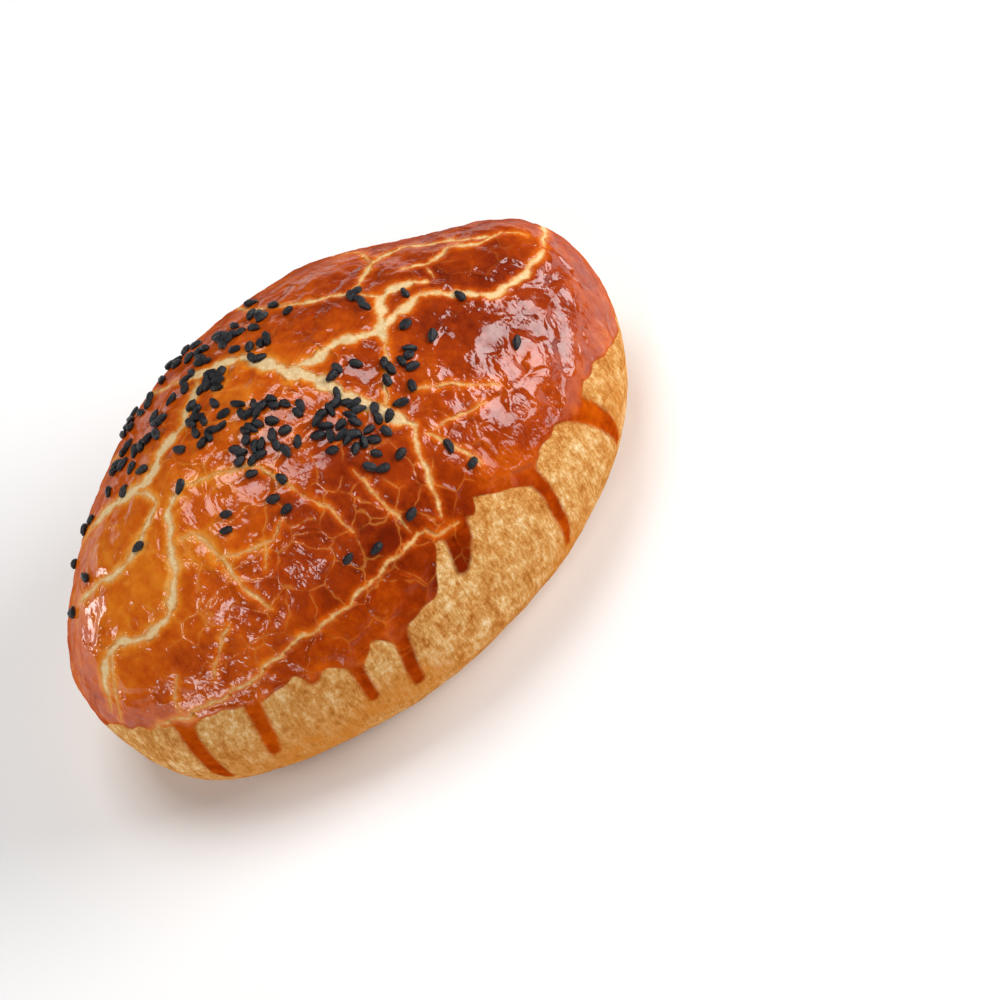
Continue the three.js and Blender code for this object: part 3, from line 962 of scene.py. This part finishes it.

# %% [markdown]
# ## The finish of the crust
#
# One material covers the crust, because glaze, cracks and bare dough run into each other. The
# fields say where each is, and noise roughens their edges. The glaze gets its colour from its
# depth: yellow-orange where it is thin beside a crack, orange on the plates, and deep red-brown
# where it ran together. The depth also carries painted shade, darker low on the near side, and
# painted light, lighter on the left plates and nose. A clear coat over it gives all the gloss.
# Bare dough is matt and tan, with fine streaks where the rising dough was stretched.

# %% Helpers for materials


def new_material(name):
    """A material with nodes: its tree, its Principled shader and a position in millimetres."""
    material = bpy.data.materials.new(name)
    material.use_nodes = True
    tree = material.node_tree
    in_mm = add(tree, "ShaderNodeTexCoord", output="Object") * (1 / MM)
    return material, tree, tree.nodes["Principled BSDF"], in_mm


def grain(position, size, stretch=(1.0, 1.0, 1.0)):
    """The shared grain group, as (height, tone)."""
    made = node(position.tree, "ShaderNodeGroup",
                {"Position": position, "Size": size, "Stretch": stretch}, node_tree=grain_group)
    return Wire(made.outputs["Height"]), Wire(made.outputs["Tone"])


def mix(share, a, b):
    """A colour between a and b."""
    a, b = ((*colour, 1.0) if isinstance(colour, tuple) else colour for colour in (a, b))
    return add(share.tree, "ShaderNodeMix", {0: share, 6: a, 7: b}, 2, data_type="RGBA")


def colour_ramp(value, stops):
    """A colour ramp from (place, colour) pairs."""
    made = node(value.tree, "ShaderNodeValToRGB", {0: value})
    elements = made.color_ramp.elements
    for index, (at, rgb) in enumerate(stops):
        element = elements[index] if index < 2 else elements.new(at)
        element.position = at
        element.color = (*rgb, 1.0)
    return Wire(made.outputs[0])


def bumpy(height_mm):
    """The normal of a surface with these heights in millimetres."""
    return add(height_mm.tree, "ShaderNodeBump",
               {"Height": height_mm, "Strength": 1.0, "Distance": MM})


print("helpers for materials ready")

# %% The crust material: where each finish lies
RAGGED = (4.0, 0.65)  # detail and roughness of a ragged noise
EDGE_RAGS = 1.1  # mm across
CRACK_STRAY, GLAZE_STRAY, SOLE_STRAY = 1.1, 0.5, 1.5  # mm that the ragged edges stray
IN_CRACK = (0.25, -0.35)  # mm from the crack's edge, from where it starts to where it is full
IN_WIDE_CRACK = (-0.15, -0.70)
BESIDE_CRACK = (1.4, 0.0)
ON_GLAZE = (-0.16, 0.18)
ON_THIN_GLAZE = (-0.45, 0.75)

crust_finish, skin, crust_shader, crust_mm = new_material("egg_glazed_crust")


def kept(name):
    """A field kept with the crust's points."""
    return add(skin, "ShaderNodeAttribute", output="Fac", attribute_name=name)


ragged = swing(crust_mm, EDGE_RAGS, *RAGGED)
crack_edge = kept("crack") + ragged * CRACK_STRAY
glaze_edge = kept("glaze") + ragged * GLAZE_STRAY
in_crack = ramp(crack_edge, *IN_CRACK)
in_wide_crack = ramp(crack_edge, *IN_WIDE_CRACK)
beside_crack = ramp(crack_edge, *BESIDE_CRACK)
thin_egg = kept("thin")
glazed = (ramp(glaze_edge, *ON_GLAZE) * (1.0 - thin_egg)
          + ramp(glaze_edge, *ON_THIN_GLAZE) * thin_egg)
print("crust material started")

# %% [markdown]
# Between the cracks the glaze is crazed with hairlines, as on old pottery. They come from a
# Voronoi pattern, whose cells meet in thin lines. The cells are bent by noise, so that no line
# is straight, and a broad noise lets them show only here and there.

# %% The crust material: hairlines
CRAZE_CELL = 6.5  # mm across
WARP_SIZE, WARP = 5.0, 3.0  # mm
HAIRLINE = (0.24, 0.04)  # mm from its middle
BESIDE_HAIRLINE = (0.9, 0.1)
PATCH_SIZE = 4.0  # mm
PATCHY = (0.34, 0.56)  # the noise from where to where hairlines come up

bent = crust_mm + swing(crust_mm, WARP_SIZE, output="Color") * WARP
to_hairline = Wire(cells(bent, CRAZE_CELL, "DISTANCE_TO_EDGE").outputs[0]) * CRAZE_CELL
patchy = kept("crazed") * ramp(noise(crust_mm, PATCH_SIZE), *PATCHY)
hairline = ramp(to_hairline, *HAIRLINE) * patchy
beside_hairline = ramp(to_hairline, *BESIDE_HAIRLINE) * patchy
print("hairlines round cells of", CRAZE_CELL, "mm")

# %% The crust material: colour of the glaze
GLAZE_COLOURS = [  # depth of the glaze, colour
    (0.00, (0.76, 0.33, 0.055)),
    (0.25, (0.68, 0.18, 0.009)),
    (0.50, (0.54, 0.085, 0.002)),
    (0.75, (0.34, 0.036, 0.001)),
    (1.00, (0.17, 0.013, 0.001)),
]
POOL_SIZE, POOLS = 9.0, 0.7  # mm, and how much a pool changes the depth
MOTTLE_SIZE, MOTTLES = 1.8, 0.5
THIN_AT_CRACK, THIN_AT_HAIRLINE = 0.26, 0.09

# The kept depth includes painted shade low on the near side and painted light on the left plates
# and nose.
glaze_depth_and_light = (kept("depth") + swing(crust_mm, POOL_SIZE) * POOLS
             + swing(crust_mm, MOTTLE_SIZE, *RAGGED) * MOTTLES
             - beside_crack * THIN_AT_CRACK - beside_hairline * THIN_AT_HAIRLINE)
glaze_colour = colour_ramp(glaze_depth_and_light, GLAZE_COLOURS)
print(len(GLAZE_COLOURS), "colours of glaze")

# %% The crust material: colour of the dough
DOUGH_COLOURS = [  # tone, colour
    (0.00, (0.38, 0.110, 0.018)),
    (0.35, (0.56, 0.230, 0.052)),
    (0.65, (0.69, 0.375, 0.125)),
    (1.00, (0.86, 0.64, 0.36)),
]
SOLE_COLOURS = [(0.30, (0.16, 0.055, 0.014)), (0.55, (0.34, 0.14, 0.038)),
                (0.75, (0.50, 0.25, 0.08))]
WASH_COLOUR = (0.60, 0.19, 0.018)
FOOT_COLOUR = (0.66, 0.25, 0.04)
RIM_COLOUR = (0.90, 0.62, 0.30)
BAKED_COLOUR = (0.16, 0.05, 0.012)
DOUGH_GRAIN, STREAK_GRAIN = 0.42, 0.55  # mm
STREAK_STRETCH = (1.0, 1.0, 0.25)  # the streaks run up the side
BLOTCH_SIZE, WASH_SIZE, SOLE_SIZE = 6.0, 3.0, 6.0  # mm
DOUGH_SHARE, STREAK_SHARE, DARKER = 0.34, 0.62, 0.49  # of the tone
WASH_PATCHY = (0.35, 0.65, 0.35, 1.0)  # from noise to noise, strength of the wash
RIM_TOP, RIM_FOOT, BAKED_TOP = (4.2, 3.0), (1.6, 2.6), (2.3, 0.9)  # heights in mm

tone = (grain(crust_mm, DOUGH_GRAIN)[1] * DOUGH_SHARE
        + grain(crust_mm, STREAK_GRAIN, STREAK_STRETCH)[1] * STREAK_SHARE
        + noise(crust_mm, BLOTCH_SIZE, *GRAIN) - DARKER)
dough_colour = colour_ramp(tone, DOUGH_COLOURS)
_, across, height = split(crust_mm)
tint = kept("wash") * ramp(noise(crust_mm, WASH_SIZE, *RAGGED), *WASH_PATCHY)
rim = ramp(height, *RIM_TOP) * ramp(height, *RIM_FOOT)
baked_edge = ramp(height + ragged * SOLE_STRAY, *BAKED_TOP)
LAYERS = [  # share, colour, each over the last
    (tint * 0.85, WASH_COLOUR),
    (ramp(height, 17.0, 3.0) * 0.42, FOOT_COLOUR),
    (rim * 0.5, RIM_COLOUR),
    (baked_edge * 0.85, BAKED_COLOUR),
    (kept("base"), colour_ramp(noise(crust_mm, SOLE_SIZE, *RAGGED), SOLE_COLOURS)),
]
for share, colour in LAYERS:
    dough_colour = mix(share, dough_colour, colour)
print(len(LAYERS), "layers over the dough's own colour")

# %% The crust material: colour of the cracks
NARROW_COLOUR = (0.68, 0.31, 0.085)
WIDE_COLOUR = (0.74, 0.51, 0.25)
CRUMB_COLOUR = (0.84, 0.66, 0.40)
HAIRLINE_COLOUR = (0.68, 0.26, 0.045)
CRUMB_SIZE = 0.8  # mm
CRUMBLY = (0.42, 0.68, 0.0, 0.7)  # from noise to noise, share of the crumb's colour
HAIRLINE_SHARE = 0.38

crumb = ramp(noise(crust_mm, CRUMB_SIZE, *RAGGED), *CRUMBLY) * in_wide_crack
crack_colour = mix(crumb, mix(in_wide_crack, NARROW_COLOUR, WIDE_COLOUR), CRUMB_COLOUR)
surface = mix(in_crack, glaze_colour, crack_colour)
surface = mix(hairline * HAIRLINE_SHARE, surface, HAIRLINE_COLOUR)
surface = mix(glazed, dough_colour, surface)
print("crust material:", len(skin.nodes), "nodes so far")

# %% [markdown]
# The gloss: only whole glaze is glossy, and cracks, hairlines and dough are matt. The coat fades
# where the crust is seen edge on and low on both long sides, because there it would mirror the
# white floor as a pink veil. The plates between the hairlines lie a little askew, and fine
# wrinkles and pits break up the mirrored lights further, as they do on real egg wash. Crust
# and coat share one bump, because working it out is what costs the most in this material.

# %% The crust material: gloss
SHEEN_SIZE = 2.5  # mm
SHEENY = (0.25, 0.6, 0.55, 1.0)  # from noise to noise, share of the coat left
MATT = (0.3, 0.7, 0.62, 0.72)  # from noise to noise, the roughness without glaze
GLAZE_SMOOTHER = 0.30  # how much less rough the whole glaze is
EDGE_MATT, EDGE_LESS = (1.2, 0.1), 0.6  # mm from the glaze's edge, share of the coat lost there
EDGE_ON = (0.45, 0.88, 1.0, 0.12)  # from facing to facing, share of the coat left
LOW_SIDES = (24.0, 34.0, 1.0, 0.35)  # mm from the middle line, share of the coat left

whole = glazed * (1.0 - in_crack)
sheen = noise(crust_mm, SHEEN_SIZE, *GRAIN)
coat = calc("MAXIMUM", whole - ramp(glaze_edge, *EDGE_MATT) * EDGE_LESS - thin_egg, 0.0)
facing = add(skin, "ShaderNodeLayerWeight", {"Blend": 0.5}, "Facing")
coat = (coat * ramp(sheen, *SHEENY) * ramp(facing, *EDGE_ON)
        * ramp(calc("ABSOLUTE", across), *LOW_SIDES))
plug(crust_shader, {"Base Color": surface, "Coat Weight": coat,
                    "Roughness": ramp(sheen, *MATT) - whole * GLAZE_SMOOTHER,
                    "Coat Roughness": 0.13, "Coat IOR": 1.5, "Specular IOR Level": 0.0})
print("coat weight, roughness and colour linked")

# %% The crust material: bump
CRINKLE_SIZE, CRINKLE_STRETCH = 1.5, (1.0, 0.55, 0.7)  # mm
CRINKLE_MEAN = 0.08  # taken off, so that crinkles neither raise nor lower the glaze
SHRIVEL_SIZE, WAVE_SIZE, PIT_SIZE = 8.0, 5.0, 2.2  # mm
CRINKLE_HIGH, WAVE_HIGH, PLATE_LEAN, PIT_DEEP, EDGE_HIGH = 0.30, 0.40, 0.20, 0.03, 0.03  # mm
DOUGH_HIGH, STREAK_HIGH = 0.18, 0.24  # mm
SHRIVELLED = (0.35, 0.65, 0.3, 1.0)  # from noise to noise, share of the crinkles
LEANING, PIT_SHAPE = (0.0, 1.3), (0.10, 0.22, -1.0, 0.0)
GLAZE_RIM = (-0.3, 0.5)  # mm across the glaze's edge

crinkle = calc("ABSOLUTE", swing(crust_mm * CRINKLE_STRETCH, CRINKLE_SIZE)) - CRINKLE_MEAN
shrivelled = ramp(noise(crust_mm, SHRIVEL_SIZE), *SHRIVELLED)
plate = cells(bent, CRAZE_CELL).outputs
lean = add(skin, "ShaderNodeVectorMath",
           {0: Wire(plate["Color"]) - 0.5, 1: bent - Wire(plate["Position"])}, "Value",
           operation="DOT_PRODUCT") * ramp(to_hairline, *LEANING)
pits = ramp(Wire(cells(crust_mm, PIT_SIZE).outputs["Distance"]), *PIT_SHAPE)
glaze_mm = (crinkle * shrivelled * CRINKLE_HIGH + swing(crust_mm, WAVE_SIZE, 1.5) * WAVE_HIGH
            + lean * PLATE_LEAN + pits * PIT_DEEP - hairline * PIT_DEEP)
dough_mm = (swing(crust_mm, DOUGH_GRAIN, *GRAIN) * DOUGH_HIGH
            + swing(crust_mm * STREAK_STRETCH, STREAK_GRAIN, *GRAIN) * STREAK_HIGH)
crust_normal = bumpy(glaze_mm * whole + dough_mm * (1.0 - whole)
                     + ramp(glaze_edge, *GLAZE_RIM) * EDGE_HIGH - in_crack * EDGE_HIGH)
plug(crust_shader, {"Normal": crust_normal, "Coat Normal": crust_normal})
print("crust material:", len(skin.nodes), "nodes")

# %% Bake the relief into the crust
bake(crust, relief, **{"Finish": crust_finish, "Glaze thickness": 0.12, "Crack depth": 0.08,
                       "Lip depth": 0.10, "Lip width": 1.2, "Step height": 0.9,
                       "Wrinkle size": 4.5, "Wrinkle height": 0.45})
print("crust:", len(crust.data.polygons), "triangles, materials",
      [m.name for m in crust.data.materials])

# %% [markdown]
# ## Where the seeds fell
#
# Black cumin seeds were sprinkled in a band across the middle. They lie in loose patches with a
# few strays further off, and in the thick of a patch some lie against each other. A small
# repeatable draw gives every seed its place, size, heading and tilt, so they fall the same way
# every time. Each seed lies nearly flat on the crust below it.

# %% Draw the seeds
SEED_LENGTH = (2.6, 3.3)
SEED_WIDTH = (1.65, 2.05)
SEED_TILT = 0.22
SEED_SPACE = 1.3
PATCHES = [  # centre x and y, reach in x and y, count
    (3, -11, 6, 6, 34), (3, -18, 6, 6, 14), (9, -15, 5, 5, 7), (17, -9, 7, 6, 12),
    (9, -4, 4, 4, 3), (-5, -6, 6, 5, 12), (-12, -3, 7, 5, 17), (-16, -14, 5, 4, 5),
    (-9, 4, 8, 5, 15), (-16, 8, 7, 5, 10), (-3, 2, 4, 5, 5), (-6, 15, 7, 5, 12),
    (3, 12, 4, 5, 7), (-12, 12, 5, 5, 5), (-5, 23, 8, 5, 16), (3, 23, 5, 6, 12),
    (11, 25, 4, 5, 5), (-18, 20, 7, 5, 10), (-28, 21, 7, 5, 11), (-18, 30, 9, 4, 13),
    (-39, 21, 6, 4, 3), (-4, 30, 7, 4, 6), (22, 7, 4, 5, 4),
]
STRAYS = [
    (37, -5), (38, -18), (30, 2), (27, -9), (25, -4), (-39, 2), (-49, 10),
    (-55, 10), (-48, 19), (-14, -28), (-9, -30), (0, -30), (14, -26), (15, -30),
    (-26, 3), (-24, -8), (-26, -10), (13, 17), (-28, 14), (-33, 15),
]
DRAW_FACTOR = 16807
DRAW_MODULUS = 2147483647
draw_state = 77


def draw(least, most):
    """The next number of the repeatable draw."""
    global draw_state
    draw_state = draw_state * DRAW_FACTOR % DRAW_MODULUS
    return least + (most - least) * draw_state / DRAW_MODULUS


seed_places = list(STRAYS)
for x, y, reach_x, reach_y, count in PATCHES:
    for _ in range(count):
        spot = (x + (draw(-reach_x, reach_x) + draw(-reach_x, reach_x)) / 2,
                y + (draw(-reach_y, reach_y) + draw(-reach_y, reach_y)) / 2)
        if all(math.dist(spot, other) > SEED_SPACE for other in seed_places):
            seed_places.append(spot)

seed_points, seed_normals = crust_over(seed_places)
seed_sizes, seed_turns = [], []
for outward in seed_normals:
    width, length = draw(*SEED_WIDTH), draw(*SEED_LENGTH)
    heading, tilt = draw(0, 2 * math.pi), draw(-SEED_TILT, SEED_TILT)
    lie = Vector((0, 0, 1)).rotation_difference(Vector(outward))
    lie = lie @ Quaternion((0, 0, 1), heading) @ Quaternion((0, 1, 0), tilt)
    seed_sizes.append((length * MM, width * MM, width * MM))
    seed_turns.append(tuple(lie))
print(len(seed_places), "seeds")

# %% [markdown]
# ## The seeds
#
# A black cumin seed is a small angular teardrop, like a chip of coal. Geometry Nodes makes
# three forms of it with five, six and seven sides, drops each seed along its normal on to the
# finished crust with a ray, turns and sizes it, and gives it a tone of its own. Each seed has
# only a few dozen faces, because there are nearly two hundred.

# %% The seed tree
SEED_SLIM = 0.95
BALL_RINGS = 5
LUMPS_PER_MM = 0.9

seed_tree, given, result = new_tree("seeds_on_crust", "GeometryNodeTree", [
    ("Geometry", "Geometry"),
    ("Crust", "Object"),
    ("Drop from", "Float", 3.0),
    ("Sunk", "Float", 0.12),
    ("Tip", "Float", 0.20),
    ("Flatness", "Float", 0.82),
    ("Lumps", "Float", 0.18),
    ("Random seed", "Int", 3),
    ("Finish", "Material"),
], [("Geometry", "Geometry")])


def seed_form(sides):
    """A teardrop of unit length and width along X, from a ball with few sides."""
    ball = add(seed_tree, "GeometryNodeMeshUVSphere",
               {"Segments": sides, "Rings": BALL_RINGS, "Radius": 0.5})
    x, y, z = split(add(seed_tree, "GeometryNodeInputPosition"))
    slim = (1.0 - z * 2.0 * given["Tip"]) * SEED_SLIM
    turned = add(seed_tree, "ShaderNodeCombineXYZ",
                 {0: z, 1: x * slim, 2: y * slim * given["Flatness"]})
    shaped = add(seed_tree, "GeometryNodeSetPosition", {"Geometry": ball, "Position": turned})
    return add(seed_tree, "GeometryNodeGeometryToInstance", {0: shaped})


forms = seed_tree.nodes.new("GeometryNodeJoinGeometry")
for sides in (7, 6, 5):
    plug(forms, {0: seed_form(sides)})
print("three forms of seed")

# %% Drop, turn and size the seeds
outward = attribute(seed_tree, "outward", "FLOAT_VECTOR")
size = attribute(seed_tree, "size", "FLOAT_VECTOR")
drop = given["Drop from"] * MM
crust_there = add(seed_tree, "GeometryNodeObjectInfo", {"Object": given["Crust"]},
                  "Geometry", transform_space="RELATIVE")
hit = add(seed_tree, "GeometryNodeRaycast", {
    "Target Geometry": crust_there, "Ray Direction": outward * -1.0, "Ray Length": drop * 2.0,
    "Source Position": add(seed_tree, "GeometryNodeInputPosition") + outward * drop},
    "Hit Position")
rise = outward * (split(size)[1] * ((0.5 - given["Sunk"]) * 0.5))
placed = add(seed_tree, "GeometryNodeSetPosition",
             {"Geometry": given["Geometry"], "Position": hit + rise})
which = add(seed_tree, "FunctionNodeRandomValue",
            {4: 0, 5: 2, "Seed": given["Random seed"]}, 2, data_type="INT")
copies = add(seed_tree, "GeometryNodeInstanceOnPoints", {
    "Points": placed, "Instance": Wire(forms.outputs[0]), "Pick Instance": True,
    "Instance Index": which, "Rotation": attribute(seed_tree, "lie", "QUATERNION"),
    "Scale": size})
shade = add(seed_tree, "FunctionNodeRandomValue",
            {2: 0.0, 3: 1.0, "Seed": given["Random seed"]}, 1, data_type="FLOAT")
toned = add(seed_tree, "GeometryNodeStoreNamedAttribute",
            {"Geometry": copies, "Name": "tone", "Value": shade},
            data_type="FLOAT", domain="INSTANCE")
real = add(seed_tree, "GeometryNodeRealizeInstances", {0: toned})
lumps = swing(add(seed_tree, "GeometryNodeInputPosition"), MM / LUMPS_PER_MM, 0.0, output="Color")
uneven = add(seed_tree, "GeometryNodeSetPosition",
             {"Geometry": real, "Offset": lumps * (given["Lumps"] * (2 * MM))})
facets = add(seed_tree, "GeometryNodeSetShadeSmooth", {"Geometry": uneven, "Shade Smooth": False})
plug(result, {"Geometry": add(seed_tree, "GeometryNodeSetMaterial",
                              {"Geometry": facets, "Material": given["Finish"]})})
print("seed tree:", len(seed_tree.nodes), "nodes")

# %% [markdown]
# The seeds are matt and almost black, with a blue cast and finely wrinkled skins. Each has its
# own tone, so a heap of them doesn't melt into one dark shape.

# %% The seed material
HUSK_GRAIN, HUSK_HIGH = 0.22, 0.12  # mm
HUSK_COLOURS = [(0.1, (0.003, 0.003, 0.004)), (0.6, (0.007, 0.008, 0.011)),
                (1.0, (0.020, 0.020, 0.025))]

seed_finish, husk, seed_shader, seed_mm = new_material("black_cumin")
wrinkles, mottle = grain(seed_mm, HUSK_GRAIN)
own_tone = add(husk, "ShaderNodeAttribute", output="Fac", attribute_name="tone")
plug(seed_shader, {
    "Base Color": colour_ramp(own_tone * 0.5 + mottle * 0.5, HUSK_COLOURS),
    "Roughness": ramp(mottle, 0.0, 1.0, 0.35, 0.55),
    "Specular IOR Level": 0.35,
    "Normal": bumpy(wrinkles * HUSK_HIGH),
})
print("seed material:", len(husk.nodes), "nodes")

# %% Bake the seeds on to the crust
seeds = new_piece("cumin_seeds", seed_points * MM, [])
keep(seeds.data, "outward", "FLOAT_VECTOR", seed_normals)
keep(seeds.data, "size", "FLOAT_VECTOR", seed_sizes)
keep(seeds.data, "lie", "QUATERNION", seed_turns)
bake(seeds, seed_tree, **{"Crust": crust, "Finish": seed_finish})
print("seeds:", len(seeds.data.polygons), "faces")

# %% [markdown]
# ## Joining the frame
#
# Both pieces ride on the roll's one body and stand for its one CAD node.

# %% Ride and replace
for piece, slot_name in ((crust, "crust"), (seeds, "cumin_seed")):
    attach(piece, "root")
    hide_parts("seeded_roll")

bpy.context.view_layer.update()
